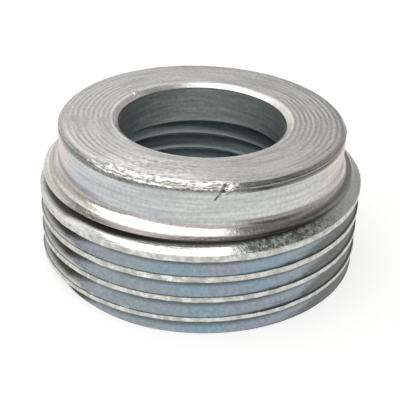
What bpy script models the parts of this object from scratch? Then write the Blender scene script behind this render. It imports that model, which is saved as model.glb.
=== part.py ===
"""Reducing bushing, 1 in male thread to 1/2 in female thread, turned from steel.

One solid, thread end down on Z = 0, its axis on +Z, sizes in metres.
The blank is a turned profile, and two helical cutters take out the threads.
"""

import math

import bmesh
import bpy

MM = 0.001

# Lengths along the axis, from the end they are measured at
TOTAL_HEIGHT = 15.0 * MM
COLLAR_HEIGHT = 4.02 * MM
THROAT_LENGTH = 4.2 * MM

# Male thread, 1 in trade size, 11.5 threads per inch
MALE_MAJOR_DIAMETER = 32.8 * MM
MALE_PITCH = 2.2087 * MM
MALE_GROOVE_DEPTH = 1.24 * MM
MALE_DEPTH_GAIN_PER_LENGTH = 1.0 / 36.0
MALE_FIRST_GROOVE_DROP = 5.36 * MM
MALE_FIRST_GROOVE_ANGLE = math.radians(-90.0)

# Female thread, 1/2 in trade size, 14 threads per inch, a wall inside the male one
WALL = 6.95 * MM
FEMALE_MINOR_DIAMETER = MALE_MAJOR_DIAMETER - 2.0 * WALL
FEMALE_PITCH = 1.8143 * MM
FEMALE_GROOVE_DEPTH = 1.1 * MM
FEMALE_LAST_GROOVE_DROP = 5.14 * MM
FEMALE_LAST_GROOVE_ANGLE = math.radians(90.0)
FEMALE_RUN_OUT_ANGLE = math.radians(100.0)
FEMALE_OVERRUN_SHARE = 0.6

# Both threads are 60 degree V grooves with a narrow flat at the root
FLANK_SLOPE = math.tan(math.radians(30.0))
GROOVE_ROOT_FLAT = 0.1 * MM

# Collar above the male thread, turned down from its outside by one step
SHOULDER_STEP = 2.0 * MM
COLLAR_DIAMETER = MALE_MAJOR_DIAMETER - 2.0 * SHOULDER_STEP
RIM_BREAK_WIDTH = 0.38 * MM
RIM_BREAK_HEIGHT = 0.15 * MM
RIM_CHAMFER_WIDTH = 0.47 * MM
RIM_CHAMFER_HEIGHT = 0.49 * MM
RIM_LAND = 0.2 * MM
RELIEF_DEPTH = 0.2 * MM
RELIEF_HEIGHT = 0.5 * MM
RELIEF_SLOPE_SHARE = 0.25

# Shoulder between collar and thread
NECK_FILLET_RADIUS = 1.2 * MM
LEDGE_WIDTH = 1.0 * MM
LEDGE_ANGLE = math.radians(30.0)
SHOULDER_CHAMFER_ANGLE = math.radians(45.0)

# Through bore, a lip narrower than the female thread, and the two end faces
THROAT_LIP = 0.95 * MM
THROAT_DIAMETER = FEMALE_MINOR_DIAMETER - 2.0 * THROAT_LIP
THROAT_DIP_WIDTH = 0.55 * MM
THROAT_DIP_DEPTH = 0.2 * MM
THROAT_CHAMFER_WIDTH = 0.25 * MM
THROAT_CHAMFER_HEIGHT = 0.2 * MM
THREAD_END_CHAMFER = 0.55 * MM
MOUTH_CHAMFER_MARGIN = 0.25 * MM

# How far each cutter stands out of what it cuts, and past the groove's run-out
MALE_CUTTER_STANDOFF = 0.48 * MM
FEMALE_CUTTER_STANDOFF = 0.21 * MM
RUN_OUT_CLEARANCE = 0.06 * MM

# Facets round one turn, and along the fillet
STEPS = 60
FILLET_STEPS = 4
SHARP_EDGE_ANGLE = math.radians(25.0)


def clear_scene():
    """Remove every object that the file holds."""
    for item in list(bpy.data.objects):
        bpy.data.objects.remove(item, do_unlink=True)


def new_collection(name):
    """Return a new collection in the scene."""
    collection = bpy.data.collections.new(name)
    bpy.context.scene.collection.children.link(collection)
    return collection


def plated_steel():
    """Bright zinc on steel, pale and slightly blue."""
    material = bpy.data.materials.new("zinc_plated_steel")
    material.use_nodes = True
    shader = material.node_tree.nodes["Principled BSDF"]
    shader.inputs["Base Color"].default_value = (0.60, 0.62, 0.62, 1.0)
    shader.inputs["Metallic"].default_value = 1.0
    shader.inputs["Roughness"].default_value = 0.32
    return material


def profile_object(name, points, collection):
    """A closed outline of (radius, height) points in the XZ plane."""
    mesh = bpy.data.meshes.new(name)
    vertices = [(radius, 0.0, height) for radius, height in points]
    edges = [(i, (i + 1) % len(points)) for i in range(len(points))]
    mesh.from_pydata(vertices, edges, [])
    item = bpy.data.objects.new(name, mesh)
    collection.objects.link(item)
    return item


def add_screw(item, turns, rise):
    """Turn an outline about Z, rising by the given height in each turn."""
    screw = item.modifiers.new("turn", "SCREW")
    screw.axis = "Z"
    screw.angle = math.tau
    screw.screw_offset = rise
    screw.iterations = turns
    screw.steps = STEPS
    screw.render_steps = STEPS
    screw.use_merge_vertices = rise == 0.0
    screw.merge_threshold = 0.00001
    return screw


def neck_fillet(corner_radius, corner_height):
    """Points of the concave fillet where the neck turns out to the ledge."""
    turn = math.pi / 2.0 - LEDGE_ANGLE
    tangent = NECK_FILLET_RADIUS * math.tan(turn / 2.0)
    centre_radius = corner_radius + NECK_FILLET_RADIUS
    centre_height = corner_height + tangent
    points = []
    for i in range(FILLET_STEPS + 1):
        angle = turn * i / FILLET_STEPS
        points.append((
            centre_radius - NECK_FILLET_RADIUS * math.cos(angle),
            centre_height - NECK_FILLET_RADIUS * math.sin(angle),
        ))
    return points


def blank_profile():
    """Outline of the blank: down the outside, then up through the bore."""
    top = TOTAL_HEIGHT
    collar = COLLAR_DIAMETER / 2.0
    major = MALE_MAJOR_DIAMETER / 2.0
    minor = FEMALE_MINOR_DIAMETER / 2.0
    throat = THROAT_DIAMETER / 2.0

    # Rim of the collar, eased off in two steps, and the shallow relief under it
    chamfer_edge = collar - RIM_CHAMFER_WIDTH
    chamfer_top = top - RIM_BREAK_HEIGHT
    land_top = chamfer_top - RIM_CHAMFER_HEIGHT
    land_bottom = land_top - RIM_LAND
    relief = collar - RELIEF_DEPTH
    relief_slope = RELIEF_HEIGHT * RELIEF_SLOPE_SHARE
    outside = [
        (chamfer_edge - RIM_BREAK_WIDTH, top),
        (chamfer_edge, chamfer_top),
        (collar, land_top),
        (collar, land_bottom),
        (relief, land_bottom - relief_slope),
        (relief, land_bottom - 2.0 * relief_slope),
        (collar, land_bottom - RELIEF_HEIGHT),
    ]

    # Neck, fillet, ledge, shoulder chamfer
    corner = top - COLLAR_HEIGHT
    outside += neck_fillet(collar, corner)
    ledge_edge = collar + LEDGE_WIDTH
    ledge_height = corner - LEDGE_WIDTH * math.tan(LEDGE_ANGLE)
    shoulder = ledge_height - (major - ledge_edge) * math.tan(SHOULDER_CHAMFER_ANGLE)
    outside += [(ledge_edge, ledge_height), (major, shoulder)]

    # Thread cylinder and its chamfered end
    outside += [
        (major, THREAD_END_CHAMFER),
        (major - THREAD_END_CHAMFER, 0.0),
    ]

    # Mouth chamfer, socket, step, throat, and the throat's edge in two steps
    mouth = minor + FEMALE_GROOVE_DEPTH + MOUTH_CHAMFER_MARGIN
    step = top - THROAT_LENGTH
    throat_edge = throat + THROAT_CHAMFER_WIDTH
    dip_bottom = top - THROAT_DIP_DEPTH
    inside = [
        (mouth, 0.0),
        (minor, mouth - minor),
        (minor, step),
        (throat, step),
        (throat, dip_bottom - THROAT_CHAMFER_HEIGHT),
        (throat_edge, dip_bottom),
        (throat_edge + THROAT_DIP_WIDTH, top),
    ]
    return outside + inside


def groove_section(root_radius, open_radius):
    """V section of a groove, from its narrow root to its wide open side."""
    half_root = GROOVE_ROOT_FLAT / 2.0
    half_open = half_root + abs(open_radius - root_radius) * FLANK_SLOPE
    section = [
        (open_radius, half_open),
        (open_radius, -half_open),
        (root_radius, -half_root),
        (root_radius, half_root),
    ]
    if open_radius < root_radius:
        section.reverse()
    return section


def groove_cutter(name, section, pitch, turns, end_height, end_angle, radial_shift, collection):
    """Helical cutter for a right-hand groove.

    Its root ends at end_height above the plane Z = 0 and at end_angle about Z.
    radial_shift gives how far a section moves out from the axis, from the angle
    that is left to the upper end.
    """
    guide = profile_object(name + "_guide", section, collection)
    add_screw(guide, turns, pitch)
    bpy.context.view_layer.update()
    evaluated = guide.evaluated_get(bpy.context.evaluated_depsgraph_get())
    mesh = bpy.data.meshes.new_from_object(evaluated)
    bpy.data.objects.remove(guide, do_unlink=True)

    # Move each section in or out, as far as the thread's depth asks
    for vertex in mesh.vertices:
        step = vertex.index // len(section)
        left = (turns * STEPS - step) * math.tau / STEPS
        radius = math.hypot(vertex.co.x, vertex.co.y)
        factor = (radius + radial_shift(left)) / radius
        vertex.co.x *= factor
        vertex.co.y *= factor

    # Close the two ends of the sweep
    shape = bmesh.new()
    shape.from_mesh(mesh)
    rim = [edge for edge in shape.edges if edge.is_boundary]
    bmesh.ops.holes_fill(shape, edges=rim, sides=len(section))
    bmesh.ops.recalc_face_normals(shape, faces=shape.faces)
    shape.to_mesh(mesh)
    shape.free()

    cutter = bpy.data.objects.new(name, mesh)
    cutter.location = (0.0, 0.0, end_height - turns * pitch)
    cutter.rotation_euler = (0.0, 0.0, end_angle)
    cutter.hide_render = True
    cutter.display_type = "WIRE"
    collection.objects.link(cutter)
    return cutter


def male_cutter(collection):
    """Cutter of the male thread, which runs out through the shoulder."""
    major = MALE_MAJOR_DIAMETER / 2.0
    root = major - MALE_GROOVE_DEPTH
    section = groove_section(root, major + MALE_CUTTER_STANDOFF)

    # The cutter starts half a turn above the first full groove
    lead = math.pi
    end_height = TOTAL_HEIGHT - MALE_FIRST_GROOVE_DROP + MALE_PITCH * lead / math.tau
    below = end_height + MALE_PITCH
    turns = math.ceil(below / MALE_PITCH)

    def deeper_towards_the_end(left):
        drop = max(left - lead, 0.0) * MALE_PITCH / math.tau
        return -drop * MALE_DEPTH_GAIN_PER_LENGTH

    half_step = math.pi / STEPS
    return groove_cutter(
        "male_thread_cutter", section, MALE_PITCH, turns, end_height,
        MALE_FIRST_GROOVE_ANGLE + lead + half_step, deeper_towards_the_end, collection,
    )


def female_cutter(collection):
    """Cutter of the female thread, which fades out below the step."""
    minor = FEMALE_MINOR_DIAMETER / 2.0
    root = minor + FEMALE_GROOVE_DEPTH
    section = groove_section(root, minor - FEMALE_CUTTER_STANDOFF)

    # The groove fades out over the run-out angle, most of it past its last crossing
    overrun = FEMALE_RUN_OUT_ANGLE * FEMALE_OVERRUN_SHARE
    end_height = (
        TOTAL_HEIGHT - FEMALE_LAST_GROOVE_DROP + FEMALE_PITCH * overrun / math.tau
    )
    turns = math.ceil((end_height + FEMALE_PITCH) / FEMALE_PITCH)
    vanish = FEMALE_GROOVE_DEPTH + RUN_OUT_CLEARANCE

    def shallower_at_the_top(left):
        share = max(1.0 - left / FEMALE_RUN_OUT_ANGLE, 0.0)
        return -vanish * share

    half_step = math.pi / STEPS
    return groove_cutter(
        "female_thread_cutter", section, FEMALE_PITCH, turns, end_height,
        FEMALE_LAST_GROOVE_ANGLE + overrun + half_step, shallower_at_the_top, collection,
    )


def cut(item, cutter):
    """Take a cutter's shape out of a part."""
    boolean = item.modifiers.new(cutter.name, "BOOLEAN")
    boolean.operation = "DIFFERENCE"
    boolean.solver = "EXACT"
    boolean.object = cutter


def shade(item):
    """Keep the cut shape as a plain mesh, smooth but for its sharp edges."""
    bpy.context.view_layer.update()
    evaluated = item.evaluated_get(bpy.context.evaluated_depsgraph_get())
    mesh = bpy.data.meshes.new_from_object(evaluated)
    item.modifiers.clear()
    item.data = mesh
    mesh.shade_smooth()
    mesh.set_sharp_from_angle(angle=SHARP_EDGE_ANGLE)


def build():
    """Model the bushing."""
    clear_scene()
    parts = new_collection("reducing_bushing_parts")
    cutters = new_collection("cutters")

    bushing = profile_object("reducing_bushing", blank_profile(), parts)
    bushing.data.materials.append(plated_steel())
    add_screw(bushing, 1, 0.0)
    cut(bushing, male_cutter(cutters))
    cut(bushing, female_cutter(cutters))
    shade(bushing)


build()
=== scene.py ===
# %% [markdown]
# # A zinc-plated reducing bushing
# The bushing is one turned piece of steel: a plain collar, a male thread below it, and a bore that ends in a
# smaller female thread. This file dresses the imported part. It loads the part as a fixed frame first, and each
# size below is either read from that frame or is a real size in millimetres.

# %% Load the frame
import math

import bmesh
import bpy
from mathutils import Matrix, Vector


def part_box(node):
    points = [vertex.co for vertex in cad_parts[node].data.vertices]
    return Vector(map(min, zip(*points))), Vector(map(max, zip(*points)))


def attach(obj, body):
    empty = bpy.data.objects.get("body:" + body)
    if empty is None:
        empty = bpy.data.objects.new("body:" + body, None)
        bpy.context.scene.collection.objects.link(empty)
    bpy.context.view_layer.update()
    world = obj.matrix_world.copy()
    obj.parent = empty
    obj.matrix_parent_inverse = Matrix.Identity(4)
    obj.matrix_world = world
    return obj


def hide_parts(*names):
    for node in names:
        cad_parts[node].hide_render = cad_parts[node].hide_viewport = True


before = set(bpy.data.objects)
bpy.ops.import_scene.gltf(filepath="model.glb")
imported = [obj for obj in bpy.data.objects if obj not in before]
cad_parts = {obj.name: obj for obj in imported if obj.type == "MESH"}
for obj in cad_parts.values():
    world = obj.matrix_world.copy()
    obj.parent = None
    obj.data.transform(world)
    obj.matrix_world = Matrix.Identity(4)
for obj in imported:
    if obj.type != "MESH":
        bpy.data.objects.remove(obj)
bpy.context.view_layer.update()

MM = 0.001
PART_LOW, PART_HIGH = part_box("reducing_bushing")
TOP = PART_HIGH[2]
MAJOR_RADIUS = PART_HIGH[0]
print("Part box in mm:", [round((high - low) / MM, 2) for low, high in zip(PART_LOW, PART_HIGH)])

# %% [markdown]
# ## Nodes with one helper
# Geometry trees and materials are both made of nodes, so one small function adds any of them. It sets the
# node's own properties by keyword. An input takes a value, or it is linked to a socket or to the first output
# of another node, so sums can be written one inside the other.

# %% A helper that adds a node
def add_node(tree, kind, inputs=None, **settings):
    """Add a node to a tree, set its properties, and fill or link its inputs."""
    node = tree.nodes.new(kind)
    for name, value in settings.items():
        setattr(node, name, value)
    for key, value in (inputs or {}).items():
        if isinstance(value, bpy.types.Node):
            value = next(socket for socket in value.outputs if socket.enabled)
        if isinstance(value, bpy.types.NodeSocket):
            tree.links.new(value, node.inputs[key])
        else:
            node.inputs[key].default_value = value
    return node


MATH = "ShaderNodeMath"
VECTOR = "ShaderNodeVectorMath"
RANGE = "ShaderNodeMapRange"
MIX = "ShaderNodeMix"
NOISE = "ShaderNodeTexNoise"

# %% [markdown]
# ## The turned blank
# A lathe makes every surface here but the threads, so the blank is one outline turned about the axis. The
# outline could be swept by a Geometry Nodes circle as well, but a Screw modifier is the direct way to turn a
# shape. Corners are written as points with a radius, and a function rounds them, because a cutting tool and
# the plating never leave a truly sharp corner, and the thin bright lines along the edges come from that.

# %% Sizes of the outline
COLLAR_RADIUS = MAJOR_RADIUS - 2.0 * MM
COLLAR_HEIGHT = 4.02 * MM
RIM_BREAK_WIDTH = 0.6 * MM
RIM_BREAK_HEIGHT = 0.09 * MM
RIM_CHAMFER_WIDTH = 0.33 * MM
RIM_CHAMFER_HEIGHT = 0.28 * MM
RIM_LAND = 0.13 * MM
RELIEF_DEPTH = 0.2 * MM
RELIEF_HEIGHT = 0.46 * MM
NECK_FILLET_RADIUS = 1.2 * MM
LEDGE_WIDTH = 1.0 * MM
LEDGE_ANGLE = math.radians(30.0)
MINOR_RADIUS = MAJOR_RADIUS - 6.95 * MM
THROAT_RADIUS = MINOR_RADIUS - 0.95 * MM
THROAT_LENGTH = 4.2 * MM
THROAT_EDGE_WIDTH = 0.5 * MM
THROAT_EDGE_DEPTH = 0.42 * MM
THROAT_EDGE_ROUNDING = 0.5 * MM
THREAD_END_CHAMFER = 0.55 * MM
FEMALE_DEPTH = 1.1 * MM
MOUTH_CHAMFER = 1.35 * MM
EDGE_ROUNDING = 0.06 * MM
LAND_BOTTOM = TOP - RIM_BREAK_HEIGHT - RIM_CHAMFER_HEIGHT - RIM_LAND
LEDGE_BOTTOM = TOP - COLLAR_HEIGHT - LEDGE_WIDTH * math.tan(LEDGE_ANGLE)
print("Radii of the collar and the throat in mm:", round(COLLAR_RADIUS / MM, 2), round(THROAT_RADIUS / MM, 2))

# %% [markdown]
# Straight stretches are split into rings, closely where noise will move the points later, and hardly at all
# where a thread is cut away. Wide roundings get more steps than plain edges.

# %% Corners and rounded outline
FINE_RINGS = 0.1 * MM
NECK_RINGS = 0.16 * MM
MIDDLE_RINGS = 0.26 * MM
WIDE_RINGS = 0.9 * MM
NO_RINGS = 20.0 * MM
EDGE_STEPS = 3
WIDE_STEPS = 7
WIDE_ROUNDING = 6.0 * EDGE_ROUNDING


def blank_corners():
    """Corners as (radius, height, rounding, ring spacing after it), down the outside and up the bore."""
    chamfer_top = TOP - RIM_BREAK_HEIGHT
    land_top = chamfer_top - RIM_CHAMFER_HEIGHT
    corner = TOP - COLLAR_HEIGHT
    ledge_edge = COLLAR_RADIUS + LEDGE_WIDTH
    shoulder = LEDGE_BOTTOM - (MAJOR_RADIUS - ledge_edge)
    step = TOP - THROAT_LENGTH
    return [
        (COLLAR_RADIUS - RIM_CHAMFER_WIDTH - RIM_BREAK_WIDTH, TOP, 4.0 * EDGE_ROUNDING, FINE_RINGS),
        (COLLAR_RADIUS - RIM_CHAMFER_WIDTH, chamfer_top, EDGE_ROUNDING, FINE_RINGS),
        (COLLAR_RADIUS, land_top, EDGE_ROUNDING, FINE_RINGS),
        (COLLAR_RADIUS, LAND_BOTTOM, EDGE_ROUNDING, FINE_RINGS),
        (COLLAR_RADIUS - RELIEF_DEPTH, LAND_BOTTOM - 0.35 * RELIEF_HEIGHT, EDGE_ROUNDING, FINE_RINGS),
        (COLLAR_RADIUS, LAND_BOTTOM - RELIEF_HEIGHT, EDGE_ROUNDING, NECK_RINGS),
        (COLLAR_RADIUS, corner, NECK_FILLET_RADIUS, MIDDLE_RINGS),
        (ledge_edge, LEDGE_BOTTOM, EDGE_ROUNDING, MIDDLE_RINGS),
        (MAJOR_RADIUS, shoulder, EDGE_ROUNDING, NO_RINGS),
        (MAJOR_RADIUS, THREAD_END_CHAMFER, EDGE_ROUNDING, MIDDLE_RINGS),
        (MAJOR_RADIUS - THREAD_END_CHAMFER, 0.0, EDGE_ROUNDING, WIDE_RINGS),
        (MINOR_RADIUS + MOUTH_CHAMFER, 0.0, EDGE_ROUNDING, WIDE_RINGS),
        (MINOR_RADIUS, MOUTH_CHAMFER, EDGE_ROUNDING, NO_RINGS),
        (MINOR_RADIUS, step, EDGE_ROUNDING, WIDE_RINGS),
        (THROAT_RADIUS, step, EDGE_ROUNDING, WIDE_RINGS),
        (THROAT_RADIUS, TOP - THROAT_EDGE_DEPTH, EDGE_ROUNDING, FINE_RINGS),
        (THROAT_RADIUS + THROAT_EDGE_WIDTH, TOP, THROAT_EDGE_ROUNDING, WIDE_RINGS),
    ]


def round_corner(before, corner, after, radius, steps):
    """Points of the arc that rounds a corner between two straight stretches."""
    to_before = (before - corner).normalized()
    to_after = (after - corner).normalized()
    half = to_before.angle(to_after) / 2.0
    centre = corner + (to_before + to_after).normalized() * radius / math.sin(half)
    first = corner + to_before * radius / math.tan(half) - centre
    last = corner + to_after * radius / math.tan(half) - centre
    return [centre + first.lerp(last, i / steps).normalized() * radius for i in range(steps + 1)]


def rounded_outline(corners):
    """Round every corner, and split the straight stretches between them into rings."""
    places = [Vector(corner[:2]) for corner in corners]
    arcs = []
    for i, (_, _, rounding, _) in enumerate(corners):
        steps = WIDE_STEPS if rounding > WIDE_ROUNDING else EDGE_STEPS
        arcs.append(round_corner(places[i - 1], places[i], places[(i + 1) % len(places)], rounding, steps))
    points = []
    for i, arc in enumerate(arcs):
        start, end = arc[-1], arcs[(i + 1) % len(arcs)][0]
        rings = math.ceil((end - start).length / corners[i][3])
        points += arc + [start.lerp(end, ring / rings) for ring in range(1, rings)]
    return points


outline = rounded_outline(blank_corners())
print("Points in the outline:", len(outline))


# %% Turn the outline
BLANK_STEPS = 510


def outline_object(name, points):
    """An object that holds a closed outline of points in its XZ or XY plane."""
    mesh = bpy.data.meshes.new(name)
    mesh.from_pydata(points, [(i, (i + 1) % len(points)) for i in range(len(points))], [])
    item = bpy.data.objects.new(name, mesh)
    bpy.context.scene.collection.objects.link(item)
    return item


bushing = outline_object("bushing_body", [(point.x, 0.0, point.y) for point in outline])
turning = bushing.modifiers.new("turning", "SCREW")
turning.axis = "Z"
turning.steps = BLANK_STEPS
turning.render_steps = BLANK_STEPS
turning.use_merge_vertices = True
turning.merge_threshold = 0.001 * MM
print("The outline is turned in", BLANK_STEPS, "steps.")

# %% [markdown]
# ## The threads
# A thread is a V groove that follows a helix, which is the very thing that Geometry Nodes is good at: a spiral
# curve, a section swept along it, and a Boolean that takes the sweep out of the blank. The section's origin
# lies on the crest, so the sweep's scale makes the groove deeper or lets it fade out, with its flanks still
# about 60 degrees apart. The flanks are slightly hollow, steeper near the crest than near the root, which
# bends what they mirror as on the real thread. The same tree cuts both threads with other inputs.

# %% The groove's section
ROOT_SLOPE = math.tan(math.radians(38.0))
CREST_SLOPE = math.tan(math.radians(20.5))
ROOT_FLAT = 0.1 * MM
CREST_BREAK = 0.012 * MM
BREAK_SLOPE = math.tan(math.radians(76.0))
VANISHED = 0.01


def groove_section(depth, standoff, inward, flank_parts):
    """Outline of a V groove in XY. X points away from the root, and the crest lies on X = 0."""
    reach = depth - CREST_BREAK
    side = []
    for i in range(flank_parts + 1):
        share = i / flank_parts
        slope = ROOT_SLOPE + (CREST_SLOPE - ROOT_SLOPE) * share / 2.0
        side.append((reach * share - depth, ROOT_FLAT / 2.0 + reach * share * slope))
    half_break = side[-1][1] + CREST_BREAK * BREAK_SLOPE
    side.append((0.0, half_break))
    side.append((standoff, half_break))
    section = side + [(x, -y) for x, y in reversed(side)]
    if inward > 0.0:
        section.reverse()
    return [(x * inward, y, 0.0) for x, y in section]


# %% Start and end a geometry tree
def start_tree(name, inputs):
    """Start a tree that takes a mesh, other named inputs and a material. Return it and its input sockets."""
    tree = bpy.data.node_groups.new(name, "GeometryNodeTree")
    tree.interface.new_socket("Mesh", in_out="OUTPUT", socket_type="NodeSocketGeometry")
    for key, kind in (("Mesh", "Geometry"), *inputs, ("Material", "Material")):
        tree.interface.new_socket(key, in_out="INPUT", socket_type="NodeSocket" + kind)
    return tree, tree.nodes.new("NodeGroupInput").outputs


def end_tree(tree, mesh, material):
    """End a tree in Realize Instances and Set Material."""
    realized = add_node(tree, "GeometryNodeRealizeInstances", {"Geometry": mesh})
    finished = add_node(tree, "GeometryNodeSetMaterial", {"Geometry": realized, "Material": material})
    add_node(tree, "NodeGroupOutput", {"Mesh": finished})
    print("Nodes in the tree", tree.name + ":", len(tree.nodes))


# %% The tree that cuts a helical groove
def groove_tree():
    """Geometry tree: cut a right-hand helical groove out of the incoming mesh."""
    tree, given = start_tree("helical_groove", (
        ("Section", "Object"), ("Steps per turn", "Int"), ("Turns", "Float"), ("Pitch", "Float"),
        ("Crest radius", "Float"), ("Upper end height", "Float"), ("Upper end angle", "Float"),
        ("Lower end scale", "Float"), ("Run-out turns", "Float"),
    ))
    rise = add_node(tree, MATH, {0: given["Turns"], 1: given["Pitch"]}, operation="MULTIPLY")
    helix = add_node(tree, "GeometryNodeCurveSpiral", {
        "Resolution": given["Steps per turn"], "Rotations": given["Turns"],
        "Start Radius": given["Crest radius"], "End Radius": given["Crest radius"],
        "Height": rise, "Reverse": True,
    })
    upright = add_node(tree, "GeometryNodeSetCurveNormal", {"Curve": helix}, mode="Z_UP")

    # The groove's scale along the helix: slowly down from the lower end, then away over the run-out
    along = add_node(tree, "GeometryNodeSplineParameter").outputs["Factor"]
    gain = add_node(tree, RANGE, {"Value": along, "To Min": given["Lower end scale"], "To Max": 1.0})
    share_left = add_node(tree, MATH, {0: 1.0, 1: along}, operation="SUBTRACT")
    turns_left = add_node(tree, MATH, {0: share_left, 1: given["Turns"]}, operation="MULTIPLY")
    fade = add_node(tree, RANGE, {
        "Value": turns_left, "From Max": given["Run-out turns"], "To Min": VANISHED, "To Max": 1.0,
    })
    scale = add_node(tree, MATH, {0: gain, 1: fade}, operation="MULTIPLY")

    section = add_node(tree, "GeometryNodeObjectInfo", {"Object": given["Section"]})
    profile = add_node(tree, "GeometryNodeMeshToCurve", {"Mesh": section.outputs["Geometry"]})
    sweep = add_node(tree, "GeometryNodeCurveToMesh", {
        "Curve": upright, "Profile Curve": profile, "Scale": scale, "Fill Caps": True,
    })
    lower_end = add_node(tree, MATH, {0: given["Upper end height"], 1: rise}, operation="SUBTRACT")
    whole_turns = add_node(tree, MATH, {0: given["Turns"], 1: math.tau}, operation="MULTIPLY")
    angle = add_node(tree, MATH, {0: given["Upper end angle"], 1: whole_turns}, operation="SUBTRACT")
    placed = add_node(tree, "GeometryNodeTransform", {
        "Geometry": sweep,
        "Translation": add_node(tree, "ShaderNodeCombineXYZ", {"Z": lower_end}),
        "Rotation": add_node(tree, "ShaderNodeCombineXYZ", {"Z": angle}),
    })
    cut = add_node(tree, "GeometryNodeMeshBoolean", {
        "Mesh 1": given["Mesh"], "Mesh 2": placed,
    }, operation="DIFFERENCE", solver="MANIFOLD")
    end_tree(tree, cut, given["Material"])
    return tree


def add_tree(item, name, tree, values):
    """Give an object a Geometry Nodes modifier and set its inputs by their identifiers."""
    modifier = item.modifiers.new(name, "NODES")
    modifier.node_group = tree
    sockets = {socket.name: socket.identifier for socket in tree.interface.items_tree if socket.in_out == "INPUT"}
    for key, value in values.items():
        modifier[sockets[key]] = value


# %% Cut both threads
steel = bpy.data.materials.new("bright_zinc_plated_steel")
groove = groove_tree()

MALE_PITCH = 2.2087 * MM
MALE_DEPTH = 1.24 * MM
MALE_LEAD_TURNS = 0.5
MALE_FIRST_GROOVE = TOP - 5.36 * MM
MALE_DEPTH_GAIN = 1.0 / 36.0
MALE_RUN_OUT = 0.001
STANDOFF = 0.2 * MM
male_upper_end = MALE_FIRST_GROOVE + MALE_PITCH * MALE_LEAD_TURNS
male_turns = math.ceil((male_upper_end + MALE_PITCH) / MALE_PITCH)
male_section = outline_object("male_section", groove_section(MALE_DEPTH, STANDOFF, 1.0, 4))
add_tree(bushing, "male_thread", groove, {
    "Section": male_section,
    "Steps per turn": 240,
    "Turns": float(male_turns),
    "Pitch": MALE_PITCH,
    "Crest radius": MAJOR_RADIUS,
    "Upper end height": male_upper_end,
    "Upper end angle": math.radians(-90.0) + math.tau * MALE_LEAD_TURNS,
    "Lower end scale": 1.0 + male_turns * MALE_PITCH * MALE_DEPTH_GAIN / MALE_DEPTH,
    "Run-out turns": MALE_RUN_OUT,
    "Material": steel,
})

FEMALE_PITCH = 1.8143 * MM
FEMALE_LAST_GROOVE = TOP - 5.14 * MM
FEMALE_RUN_OUT = 100.0 / 360.0
FEMALE_LEAD_TURNS = FEMALE_RUN_OUT * 0.6
female_upper_end = FEMALE_LAST_GROOVE + FEMALE_PITCH * FEMALE_LEAD_TURNS
female_turns = math.ceil((female_upper_end + FEMALE_PITCH) / FEMALE_PITCH)
female_section = outline_object("female_section", groove_section(FEMALE_DEPTH, STANDOFF, -1.0, 2))
add_tree(bushing, "female_thread", groove, {
    "Section": female_section,
    "Steps per turn": 180,
    "Turns": float(female_turns),
    "Pitch": FEMALE_PITCH,
    "Crest radius": MINOR_RADIUS,
    "Upper end height": female_upper_end,
    "Upper end angle": math.radians(90.0) + math.tau * FEMALE_LEAD_TURNS,
    "Lower end scale": 1.0,
    "Run-out turns": FEMALE_RUN_OUT,
    "Material": steel,
})
print("Turns of the male and the female cutter:", male_turns, female_turns)

# %% [markdown]
# ## Burrs, a nick and a torn flank
# The cutting tool has rolled the front of the rim over into a ragged burr, something has nicked it, the crests
# are a little uneven, and the first flank of the thread is torn at the right. Sculpting would do this by hand.
# A Geometry Nodes tree that moves the points of one band by noise does it by rule, and the same tree serves
# every band with other inputs. The noise is four-dimensional, and its fourth coordinate is the seed. The trees
# here and the material later all ask where a point lies round the part, so one function adds nodes for that.

# %% Where a point lies round the axis
def round_the_axis(tree, point):
    """Nodes for a point's coordinates, its distance from the axis, its angle from the front, and the way out."""
    sides = add_node(tree, "ShaderNodeSeparateXYZ", {0: point}).outputs
    flat = add_node(tree, VECTOR, {0: point, 1: (1.0, 1.0, 0.0)}, operation="MULTIPLY")
    distance = add_node(tree, VECTOR, {0: flat}, operation="LENGTH")
    front = add_node(tree, MATH, {0: sides["Y"], 1: -1.0}, operation="MULTIPLY")
    angle = add_node(tree, MATH, {0: sides["X"], 1: front}, operation="ARCTAN2")
    outward = add_node(tree, VECTOR, {0: flat}, operation="NORMALIZE")
    return sides, distance, angle, outward


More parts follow.
